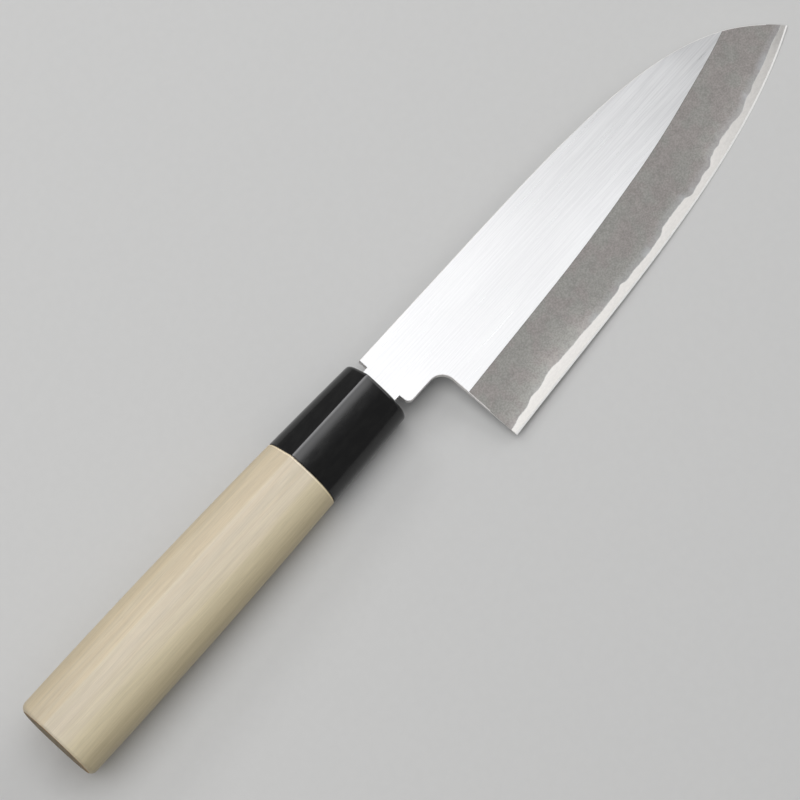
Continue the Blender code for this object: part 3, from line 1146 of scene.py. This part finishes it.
    def tang_at(self, along: float) -> tuple[float, float]:
        """Y of the tang's upper and lower sides.

        Args:
            along: Place along the knife.

        Returns:
            The upper and the lower Y.
        """
        end = self.shoulder - self.tang_length
        corner = end + self.tang_corner
        share = min(1.0, max(0.0, along - corner) / (self.shoulder - corner))
        cut = max(0.0, corner - along)
        top = blend(self.tang_end_top, self.tang_top, share) - cut
        return top, cut - blend(self.tang_end_bottom, self.tang_bottom, share)

    def rows_at(self, along: float) -> list[float]:
        """Y of each row.

        Args:
            along: Place along the knife.

        Returns:
            The Y of each row, from the spine to the edge.
        """
        top, bottom = self.tang_at(along)
        spine = self.spine_at(along)
        if along < self.heel:
            return [spine, top, bottom, self.neck_at(along)] + [self.neck_at(along)] * (Row.EDGE - Row.NECK)
        edge = self.edge.across(along)
        bevel = min(spine, float(np.interp(along, *self.bevel_line.T)))
        core = min(spine, edge + self.core_height(along))
        hone = max(edge, min(spine, float(np.interp(along, *self.hone_line.T))))
        heel_bevel = float(np.interp(self.heel, *self.bevel_line.T))
        flats = (top, bottom, self.neck_at(self.heel))
        shares = [(self.spine_height - flat) / (self.spine_height - heel_bevel) for flat in flats]
        bevel = spine if spine - bevel < self.least_row else bevel
        upper = [spine] + [blend(spine, bevel, share) for share in shares] + [bevel]
        upper = [spine if spine - row < self.least_row else row for row in upper]
        ground = (Row.UPPER, Row.MIDDLE, Row.LOWER)
        lower = [blend(bevel, core, (row - Row.BEVEL) / (Row.CORE - Row.BEVEL)) for row in ground]
        return upper + lower + [core, (core + hone) / 2, hone, edge]

    def columns(self, end: float) -> list[float]:
        """Places along the knife at which the rows have points.

        Args:
            end: The last of them.

        Returns:
            The places, from the tang's end on.
        """
        tang_end = self.shoulder - self.tang_length
        turns = [math.pi / 2 * step / self.arc_steps for step in range(self.arc_steps)]
        corner, hollow = self.shoulder + self.neck_radius, self.heel - self.heel_radius
        tang = [tang_end] + spread(tang_end + self.tang_corner, self.shoulder, self.tang_step)
        shoulder = [corner - self.neck_radius * math.cos(turn) for turn in turns]
        neck = spread(corner, hollow, self.neck_step)
        heel = [hollow + self.heel_radius * math.sin(turn) for turn in turns]
        return tang + shoulder + neck + heel + spread(self.heel, end, self.column_step) + [end]

    def core_half(self, along: float) -> float:
        """Half thickness of the core between the claddings."""
        place = max(along, self.heel)
        return self.surface(Vector((place, self.rows_at(place)[Row.CORE])))

    def below_spine(self, share: float) -> bool:
        """Whether the core's line is still below the spine at a share of the edge."""
        foot = self.edge.at(share)
        return foot.y + self.core_height(foot.x) < self.spine_at(foot.x)

    def cladding_end(self) -> float:
        """Place near the tip where the core's line meets the spine."""
        return self.edge.at(self.edge.share_where(self.below_spine)).x

    def sheet(self, end: float, last: Row, height: Callable[[Vector, Row, float], float]) -> BMesh:
        """Face of one layer as an open sheet.

        Args:
            end: Where the sheet ends along the knife.
            last: Its lowest row.
            height: Gives its Z from a place, its row and the core's half thickness there.

        Returns:
            The sheet. Its points carry their row, the core's half thickness, and in millimetres their height
            over the core's line and their depth under the bevel's upper line.
        """
        columns = self.columns(end)
        lines = [(self.rows_at(along), self.core_half(along)) for along in columns]
        bevels = np.interp(columns, *self.bevel_line.T)
        shape = bmesh.new()
        row_of = shape.verts.layers.int.new("row")
        half_of = shape.verts.layers.float.new("half")
        over = shape.verts.layers.float.new(OVER_CORE)
        under = shape.verts.layers.float.new(UNDER_BEVEL)
        bmesh.ops.create_grid(shape, x_segments=len(columns) - 1, y_segments=last, size=1.0)
        along_of = {}
        for vert in shape.verts:
            column = round((vert.co.x + 1) / 2 * (len(columns) - 1))
            row = round((1 - vert.co.y) / 2 * last)
            rows, half = lines[column]
            place = Vector((columns[column], rows[row]))
            vert[row_of], vert[half_of] = row, half
            over_core = (place.y - rows[Row.CORE]) / MM
            vert[over] = over_core if columns[column] >= self.heel else self.far_over_core
            vert[under] = (bevels[column] - place.y) / MM
            vert.co = (*place, height(place, Row(row), half))
            along_of[vert] = columns[column]
        stray = []
        for part in shape.faces:
            start = min(along_of[vert] for vert in part.verts)
            top = min(vert[row_of] for vert in part.verts)
            beside_tang = start < self.shoulder - WELD and not Row.TANG_TOP <= top < Row.TANG_BOTTOM
            if beside_tang or start < self.heel - WELD and top >= Row.NECK:
                stray.append(part)
            part.material_index = int(top >= (Row.BEVEL if last == Row.CORE else Row.HONE))
        bmesh.ops.delete(shape, geom=stray, context="FACES")
        return shape

    def closed(self, shape: BMesh, back: Callable[[BMVert, float], float]) -> set[BMVert]:
        """Close a sheet with a second face and walls.

        Args:
            shape: The sheet.
            back: Gives the second face's Z from a point and the core's half thickness there.

        Returns:
            The points of the second face.
        """
        half_of = shape.verts.layers.float["half"]
        made = bmesh.ops.extrude_face_region(shape, geom=shape.faces, use_keep_orig=True)["geom"]
        copies = {item for item in made if isinstance(item, BMVert)}
        for vert in copies:
            vert.co.z = back(vert, vert[half_of])
        return copies

    def on_row(self, shape: BMesh, row: Row) -> Callable[[BMEdge], bool]:
        """Test for edges that run along a row."""
        row_of = shape.verts.layers.int["row"]
        return lambda edge: all(vert[row_of] == row for vert in edge.verts)

    def dress_sides(self, shape: BMesh) -> None:
        """Give the third material to the walls and eased corners of a layer.

        Args:
            shape: The layer.
        """
        for part in shape.faces:
            if abs(part.normal.z) < self.face_lean:
                part.material_index = 2

    def core(self, materials: list[Material]) -> Object:
        """Make the hard core, with its edge.

        Args:
            materials: Finishes of its face, its honed bevel and its sides.

        Returns:
            The piece.
        """
        shape = self.sheet(
            self.tip.x, Row.EDGE,
            lambda place, row, half: min(self.surface(place), half if row < Row.CORE else math.inf),
        )
        self.closed(shape, lambda vert, half: -vert.co.z)
        welded(shape)
        self.dress_sides(shape)
        shaded_round(shape, self.crease, self.on_row(shape, Row.HONE))
        return piece("core_blade", shape, materials, "core_steel")

    def cladding(self, side: Side, materials: list[Material]) -> Object:
        """Make the cladding of one side.

        Args:
            side: The side.
            materials: Finishes of its flat, its bevel and its sides.

        Returns:
            The piece.
        """
        shape = self.sheet(
            self.cladding_end(), Row.CORE, lambda place, row, half: side * max(half, self.surface(place)),
        )
        half_of = shape.verts.layers.float["half"]
        skin = shape.verts.layers.int.new("skin")
        for vert in shape.verts:
            proud = abs(vert.co.z) - vert[half_of] > self.eased_limit
            vert[skin] = int(proud and vert.co.x > self.shoulder - WELD)
        for vert in self.closed(shape, lambda vert, half: side * half):
            vert[skin] = 0
        welded(shape)
        rims = [
            edge for edge in shape.edges
            if all(vert[skin] for vert in edge.verts) and edge.calc_face_angle(0.0) > self.eased_angle
        ]
        rounded(shape, rims, self.eased_edge, self.eased_segments)
        self.dress_sides(shape)
        shaded_round(shape, self.crease, self.on_row(shape, Row.BEVEL))
        hand = side.name.lower()
        return piece(f"{hand}_cladding", shape, materials, f"cladding_{hand}")

    def build(self) -> None:
        """Make and dress the blade's three pieces."""
        sides = EasedSteel().material()
        soft = [BrushedSteel().material(), GroundSteel().material(), sides]
        self.core([CoreSteel().material(), HonedSteel().material(), sides])
        for side in Side:
            self.cladding(side, soft)


@dataclass
class Section:
    """Chestnut section of the handle: an oval, a ridge, a flat facet and a faintly crowned plateau."""

    swell_back: float = 118.0 * MM
    full_height: float = 27.4 * MM
    full_thickness: float = 19.6 * MM
    front_height: float = 21.8 * MM
    front_thickness: float = 16.8 * MM
    ridge_offset: float = 4.1 * MM
    ridge_stand: float = 0.8 * MM
    ridge_segments: int = 5
    round_steps: int = 120
    facet_steps: int = 8
    plateau_merge: float = math.radians(13.5)
    plateau_lead: float = 0.38

    def fullness(self, front: float, full: float, along: float) -> float:
        """A size of the section, which follows one flat curve from the ferrule's front to the butt."""
        share = (along + self.swell_back) / self.swell_back
        return full - (full - front) * share * share

    def ring(self, along: float, inset: float) -> list[Vector]:
        """Points of the section, from the ridge round.

        Args:
            along: Place along the knife.
            inset: How far the section is drawn in all round.

        Returns:
            The points.
        """
        height = self.fullness(self.front_height, self.full_height, along) / 2 - inset
        depth = self.fullness(self.front_thickness, self.full_thickness, along) / 2 - inset
        ridge = Vector((along, self.ridge_offset, depth + self.ridge_stand))
        tall, deep = ridge.y / height, ridge.z / depth
        middle, half = math.atan2(deep, tall), math.acos(1 / math.hypot(deep, tall))
        start, end = middle + half + self.plateau_merge, middle - half + 2 * math.pi
        angles = [blend(start, end, step / self.round_steps) for step in range(self.round_steps + 1)]
        oval = [Vector((along, height * math.cos(angle), depth * math.sin(angle))) for angle in angles]
        foot, ahead = oval[0], Vector((0, height * math.sin(start), -depth * math.cos(start))).normalized()
        lead = foot + ahead * (self.plateau_lead * (ridge - foot).length)
        shares = [step / self.facet_steps for step in range(1, self.facet_steps)]
        plateau = [ridge.lerp(lead, share).lerp(lead.lerp(foot, share), share) for share in shares]
        facet = [ridge.lerp(oval[-1], share) for share in reversed(shares)]
        return [ridge, *plateau, *oval, *facet]

    def swept(self, stations: list[tuple[float, float]], ridge_round: float) -> BMesh:
        """Solid through the section at stations.

        Args:
            stations: Place along the knife and inset of each ring.
            ridge_round: Width taken off each side of the ridge to round it.

        Returns:
            The closed shape.
        """
        shape = bmesh.new()
        spot = shape.verts.layers.int.new("spot")
        rings = [self.ring(along, inset) for along, inset in stations]
        bmesh.ops.create_circle(shape, cap_ends=True, segments=len(rings[0]), radius=1.0)
        shape.verts.ensure_lookup_table()
        for index, vert in enumerate(shape.verts):
            vert[spot], vert.co = index, rings[0][index]
        first = cap = shape.faces[:]
        for ring in rings[1:]:
            made = bmesh.ops.extrude_face_region(shape, geom=cap, use_keep_orig=True)["geom"]
            if cap is not first:
                bmesh.ops.delete(shape, geom=cap, context="FACES_ONLY")
            cap = [item for item in made if isinstance(item, BMFace)]
            for vert in cap[0].verts:
                vert.co = ring[vert[spot]]
        bmesh.ops.recalc_face_normals(shape, faces=shape.faces)
        ridge = [edge for edge in shape.edges if not any(vert[spot] for vert in edge.verts)]
        rounded(shape, ridge, ridge_round, self.ridge_segments)
        return shape


def rounded_rim(face: float, radius: float, inward: int, steps: int = 8) -> list[tuple[float, float]]:
    """Stations of a rounded rim, from the flat face at its outside to the full section.

    Args:
        face: Place of the face along the knife.
        radius: Radius of the rounding.
        inward: 1 where the solid lies ahead of the face, -1 where it lies behind it.
        steps: Facets of the rounding.

    Returns:
        Place and inset of each station.
    """
    turns = [math.pi / 2 * step / steps for step in range(steps + 1)]
    return [(face + inward * radius * (1 - math.cos(turn)), radius * (1 - math.sin(turn))) for turn in turns]


@dataclass
class Handle:
    """Wooden handle with a tenon for the ferrule and a slot for the tang."""

    section: Section
    blade: Blade
    length: float = 134.1 * MM
    butt_slant: float = math.radians(3.0)
    butt_skew: float = math.radians(1.3)
    butt_radius: float = 1.8 * MM
    butt_crisp: float = 0.9 * MM
    butt_spine_radius: float = 2.4 * MM
    crisp_reach: float = 0.5
    end_facing: float = 0.93
    ferrule_length: float = 32.0 * MM
    ferrule_wall: float = 2.2 * MM
    ferrule_front: float = 5.0 * MM
    seat_fit: float = 0.1 * MM
    tang_fit: float = 0.3 * MM
    front_chamfer: float = 0.4 * MM
    tenon_chamfer: float = 0.8 * MM
    ridge_round: float = 0.6 * MM
    body_step: float = 5.0 * MM

    def tang_slot(self) -> BMesh:
        """Cutter for the tang's slot.

        Returns:
            The cutter.
        """
        blade, fit = self.blade, self.tang_fit
        end = blade.shoulder - blade.tang_length - fit
        top, bottom = blade.tang_end_top + fit, -blade.tang_end_bottom - fit
        outline = [
            Vector((blade.shoulder, -blade.tang_bottom - fit)),
            Vector((end + blade.tang_corner, bottom)),
            Vector((end, bottom + blade.tang_corner)),
            Vector((end, top - blade.tang_corner)),
            Vector((end + blade.tang_corner, top)),
            Vector((blade.shoulder, blade.tang_top + fit)),
        ]
        return prism(outline, blade.neck_thickness / 2 + fit)

    def soften_butt(self, shape: BMesh, start: float) -> None:
        """Saw the butt a little out of square, and round its rim more at spine and edge than on the faces.

        Args:
            shape: The swept handle.
            start: Where the rounded rim ends along the knife.
        """
        half = self.section.full_height / 2
        middle = Vector((-self.length, 0, 0))
        for vert in shape.verts:
            if vert.co.x < start + WELD:
                depth = self.butt_radius - math.sqrt(max(0.0, self.butt_radius**2 - (start - vert.co.x) ** 2))
                corner = Vector((-self.length, vert.co.y, vert.co.z))
                corner += (corner - middle).normalized() * depth
                share = min(1.0, max(0.0, abs(corner.y) / half - self.crisp_reach) / (1 - self.crisp_reach))
                full = self.butt_spine_radius if corner.y > 0 else self.butt_radius
                radius = blend(self.butt_crisp, full, share**2)
                vert.co = corner.lerp(vert.co, radius / self.butt_radius)
                vert.co.x -= vert.co.z * math.tan(self.butt_slant)
                vert.co.x += (vert.co.y + half) * math.tan(self.butt_skew)

    def build(self) -> None:
        """Make and dress the wood."""
        front = -self.ferrule_length
        start, end = -self.length + self.butt_radius, front - self.front_chamfer
        socket, tip = self.ferrule_wall + self.seat_fit, -self.ferrule_front - self.seat_fit
        stations = rounded_rim(-self.length, self.butt_radius, 1)
        stations += [(along, 0.0) for along in spread(start, end, self.body_step)[1:] + [end]]
        stations += [(front, self.front_chamfer), (front, socket)]
        stations += [(tip - self.tenon_chamfer, socket), (tip, socket + self.tenon_chamfer)]
        shape = self.section.swept(stations, self.ridge_round)
        self.soften_butt(shape, start)
        shape = cut_away(shape, [self.tang_slot()])
        for face in shape.faces:
            at_butt = face.calc_center_median().x < start
            face.material_index = int(at_butt and face.normal.x < -self.end_facing)
        shaded_round(shape, MOULDED_CREASE)
        materials = [Magnolia().material(), EndGrain().material()]
        piece("handle_grip", shape, materials, "handle")


@dataclass
class Ferrule:
    """Moulded ferrule: a shell with a front wall that the tang passes through."""

    section: Section
    handle: Handle
    rim: float = 1.2 * MM
    back_chamfer: float = 0.15 * MM
    ridge_round: float = 0.25 * MM
    seal_depth: float = 2.0 * MM
    seal_margin: float = 1.2 * MM
    body_step: float = 4.0 * MM

    def mouth(self, margin: float, depth: float) -> BMesh:
        """Cutter round the tang in the ferrule's front.

        Args:
            margin: Room round the tang.
            depth: Depth from the front.

        Returns:
            The cutter.
        """
        blade = self.handle.blade
        half = blade.neck_thickness / 2 + margin
        low = (-depth, -blade.tang_bottom - margin, -half)
        return block(low, (MM, blade.tang_top + margin, half))

    def build(self) -> None:
        """Make and dress the ferrule."""
        handle = self.handle
        wall, floor = handle.ferrule_wall, -handle.ferrule_front
        back = handle.seat_fit - handle.ferrule_length
        stations = [(floor, wall), (back, wall), (back, self.back_chamfer)]
        stations += [(along, 0.0) for along in spread(back + self.back_chamfer, -self.rim, self.body_step)]
        stations += rounded_rim(0.0, self.rim, -1)[::-1]
        shape = self.section.swept(stations, self.ridge_round)
        shape = cut_away(shape, [handle.tang_slot(), self.mouth(self.seal_margin, self.seal_depth)])
        shaded_round(shape, MOULDED_CREASE)
        piece("ferrule_shell", shape, [BlackPlastic().material()], "ferrule")


@dataclass
class Seal:
    """Resin that fills the ferrule's mouth round the tang and creeps a little way up it."""

    ferrule: Ferrule
    creep: float = 0.35 * MM
    sunk: float = 0.12 * MM
    creep_width: float = 0.35 * MM
    crease: float = math.radians(30)

    def build(self) -> None:
        """Make and dress the seal."""
        handle, blade = self.ferrule.handle, self.ferrule.handle.blade
        margin = self.ferrule.seal_margin - handle.seat_fit
        half = blade.neck_thickness / 2 + margin
        top, bottom = blade.tang_top + margin, -blade.tang_bottom - margin
        shape = bmesh.new()
        corners = [(bottom, -half), (top, -half), (top, half), (bottom, half)]
        mouth = [shape.verts.new((-self.sunk, *corner)) for corner in corners]
        bore = bmesh.ops.contextual_create(shape, geom=mouth)["faces"]
        for width in (margin - handle.seat_fit - self.creep_width, self.creep_width):
            bmesh.ops.inset_region(
                shape, faces=bore, thickness=width, use_boundary=True, use_even_offset=True,
            )
        for vert in bore[0].verts:
            vert.co.x = self.creep
        bmesh.ops.delete(shape, geom=bore, context="FACES_ONLY")
        made = bmesh.ops.extrude_face_region(shape, geom=shape.faces, use_keep_orig=True)["geom"]
        for item in made:
            if isinstance(item, BMVert):
                item.co.x = handle.seat_fit - self.ferrule.seal_depth
        bmesh.ops.recalc_face_normals(shape, faces=shape.faces)
        shaded_round(shape, self.crease)
        piece("resin_seal", shape, [DarkResin().material()], "tang_seal")


@dataclass
class Photograph:
    """Where the photograph's camera stood over the knife, and how large the knife is in it."""

    towards_butt: float = math.radians(13.0)
    towards_edge: float = math.radians(7.0)
    distance: float = 1.2
    axis_turn: float = math.radians(47.6)
    pixels_per_metre: float = 3560.0
    aim: float = 0.8 * MM
    aim_pixel: tuple[float, float] = (379.0, 389.0)
    image_side: float = 800.0
    sensor: float = 36.0
    nearest: float = 0.01
    farthest: float = 50.0

    def build(self) -> None:
        """Make the camera and give it to the scene."""
        lean = Vector((-math.sin(self.towards_butt), -math.sin(self.towards_edge), 0))
        back = Vector((lean.x, lean.y, math.sqrt(1 - lean.length_squared)))
        tipward = (Vector((1, 0, 0)) - back * back.x).normalized()
        spineward = back.cross(tipward)
        cosine, sine = math.cos(self.axis_turn), math.sin(self.axis_turn)
        right, up = cosine * tipward - sine * spineward, sine * tipward + cosine * spineward
        focal = self.pixels_per_metre * self.distance
        middle = self.image_side / 2
        sideways, upward = self.aim_pixel[0] - middle, middle - self.aim_pixel[1]
        ray = Vector((sideways / focal, upward / focal, -1)).normalized()
        eye = Vector((self.aim, 0, 0)) - self.distance * (right * ray.x + up * ray.y + back * ray.z)
        pose = Matrix((right, up, back)).transposed().to_4x4()
        pose.translation = eye
        data = bpy.data.cameras.new("photograph")
        data.sensor_width = self.sensor
        data.lens = focal / self.image_side * self.sensor
        data.clip_start, data.clip_end = self.nearest, self.farthest
        camera = bpy.data.objects.new("photograph", data)
        camera.matrix_world = REST.matrix() @ pose
        bpy.context.scene.collection.objects.link(camera)
        bpy.context.scene.camera = camera


@dataclass(frozen=True)
class Softbox:
    """Oblong area light that shines straight down unless it is turned."""

    name: str
    place: Triple
    size: Span
    radiance: float
    turn: Triple = (0.0, 0.0, 0.0)

    def build(self) -> None:
        """Make the light."""
        data = bpy.data.lights.new(self.name, "AREA")
        data.shape = "RECTANGLE"
        data.size, data.size_y = self.size
        data.energy = self.radiance * math.pi * self.size[0] * self.size[1]
        lamp = bpy.data.objects.new(self.name, data)
        lamp.location = self.place
        lamp.rotation_euler = self.turn
        bpy.context.scene.collection.objects.link(lamp)


@dataclass
class Studio:
    """Pale floor, soft boxes and an even surround."""

    floor_radius: float = 6.0
    floor_drop: float = 0.02 * MM
    floor_segments: int = 96
    surround: float = 0.26
    lights: tuple[Softbox, ...] = (
        Softbox("overhead softbox", (-0.325, 0.245, 1.0), (1.55, 1.01), 1.6),
        Softbox("strip box", (0.30, 1.10, 0.80), (0.8, 0.35), 3.0, (math.radians(-54.0), 0, 0)),
        Softbox("tip fill", (1.50, -0.25, 0.85), (0.9, 1.4), 2.2, (0, math.radians(60.0), 0)),
    )

    def floor(self) -> None:
        """Make the floor."""
        shape = bmesh.new()
        bmesh.ops.create_circle(shape, cap_ends=True, segments=self.floor_segments, radius=self.floor_radius)
        bmesh.ops.translate(shape, vec=(0, 0, -self.floor_drop), verts=shape.verts)
        ground = bpy.data.objects.new("floor", as_mesh("floor", shape))
        ground.data.materials.append(PaleFloor().material())
        bpy.context.scene.collection.objects.link(ground)

    def world(self) -> None:
        """Make the even surround."""
        world = bpy.data.worlds.new("surround")
        world.use_nodes = True
        light = world.node_tree.nodes["Background"]
        light.inputs["Color"].default_value = (1, 1, 1, 1)
        light.inputs["Strength"].default_value = self.surround
        bpy.context.scene.world = world

    def build(self) -> None:
        """Make the floor, the surround and the lights."""
        self.floor()
        self.world()
        for light in self.lights:
            light.build()
        bpy.context.scene.view_settings.view_transform = "Standard"


def main() -> None:
    """Build the knife, the studio and the camera."""
    logging.basicConfig(level=logging.INFO)
    blade, section = Blade(), Section()
    handle = Handle(section, blade)
    ferrule = Ferrule(section, handle)
    for part in (blade, handle, ferrule, Seal(ferrule), Studio(), Photograph()):
        part.build()
        log.info("%s built", type(part).__name__)


if __name__ == "__main__":
    main()
